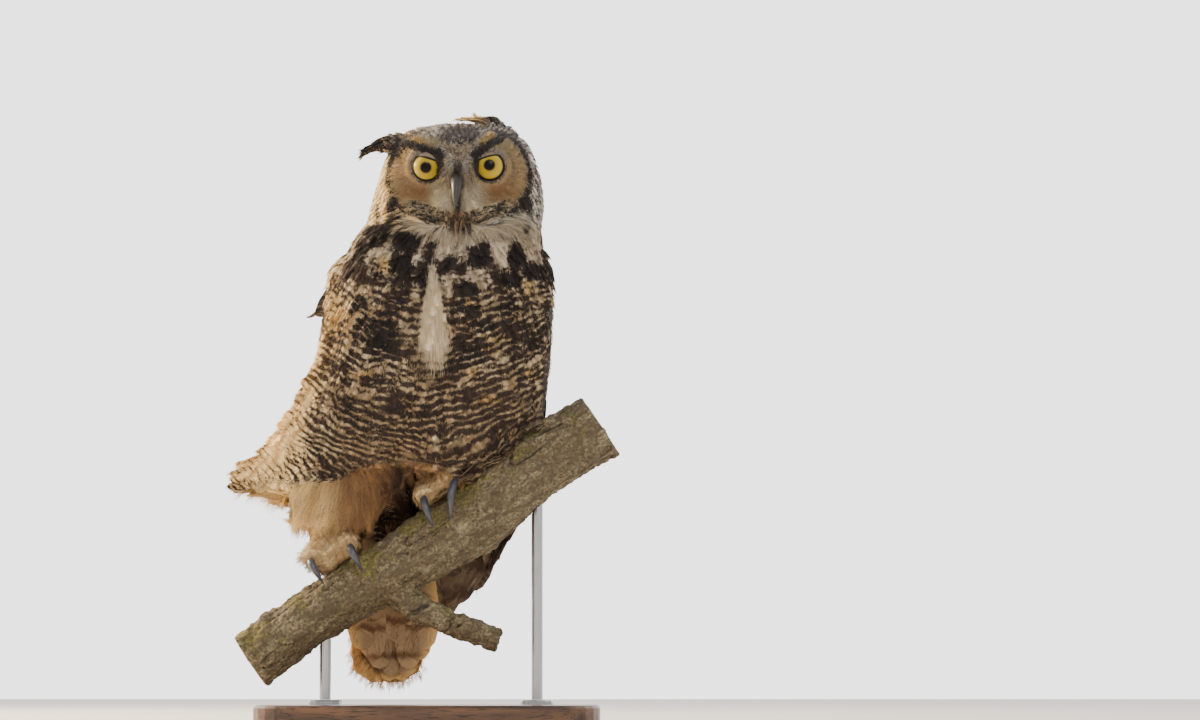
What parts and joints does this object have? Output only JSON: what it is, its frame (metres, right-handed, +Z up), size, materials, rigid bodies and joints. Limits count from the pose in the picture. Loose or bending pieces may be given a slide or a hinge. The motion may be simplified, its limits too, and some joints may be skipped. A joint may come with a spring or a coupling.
{
  "type": "great horned owl model",
  "caption": "Life-size still model of a great horned owl gripping a cut length of sloping branch, held over a flat display base by upright rods.",
  "frame": {"origin": "centre of the underside of the stand's base, on the floor", "axes": "+Z up, -Y is the way the owl faces, +X is the owl's left"},
  "size_m": [0.3438, 0.196, 0.5435],
  "materials": {
    "face_feathers": "soft short feathers, tan face with black rims",
    "neck_feathers": "loose soft feathers, white bib",
    "tuft_feathers": "dark pointed feathers with tan edges",
    "body_feathers": "soft contour feathers, buff with dark brown bars",
    "wing_feathers": "firm overlapping feathers, barred grey-brown",
    "tail_feathers": "firm long feathers, tawny with brown bars",
    "leg_down": "short dense tawny down",
    "toe_down": "short hair-like cream-buff feathers",
    "horn": "dark slate horn, satin",
    "claw_horn": "blue-black horn, satin",
    "eye_ball": "glossy wet eye, yellow iris and black pupil",
    "bark": "rough grey-brown bark with olive moss",
    "base_wood": "dark walnut, satin lacquer",
    "stand_steel": "brushed steel rod"
  },
  "bodies": {
    "root": {"head": "face_feathers", "neck": "neck_feathers", "ear_tuft_left": "tuft_feathers", "ear_tuft_right": "tuft_feathers", "eye_left": "eye_ball", "eye_right": "eye_ball", "bill_upper": "horn", "bill_lower": "horn", "trunk": "body_feathers", "wing_left": "wing_feathers", "wing_right": "wing_feathers", "tail": "tail_feathers", "thigh_left": "leg_down", "thigh_right": "leg_down", "foot_left": "toe_down", "foot_right": "toe_down", "claw_left_middle": "claw_horn", "claw_left_inner": "claw_horn", "claw_left_outer": "claw_horn", "claw_left_hind": "claw_horn", "claw_right_middle": "claw_horn", "claw_right_inner": "claw_horn", "claw_right_outer": "claw_horn", "claw_right_hind": "claw_horn", "perch": "bark", "perch_fork": "bark", "stand_base": "base_wood", "stand_rod_low": "stand_steel", "stand_rod_high": "stand_steel", "stand_flange_low": "stand_steel", "stand_flange_high": "stand_steel"}
  },
  "joints": []
}
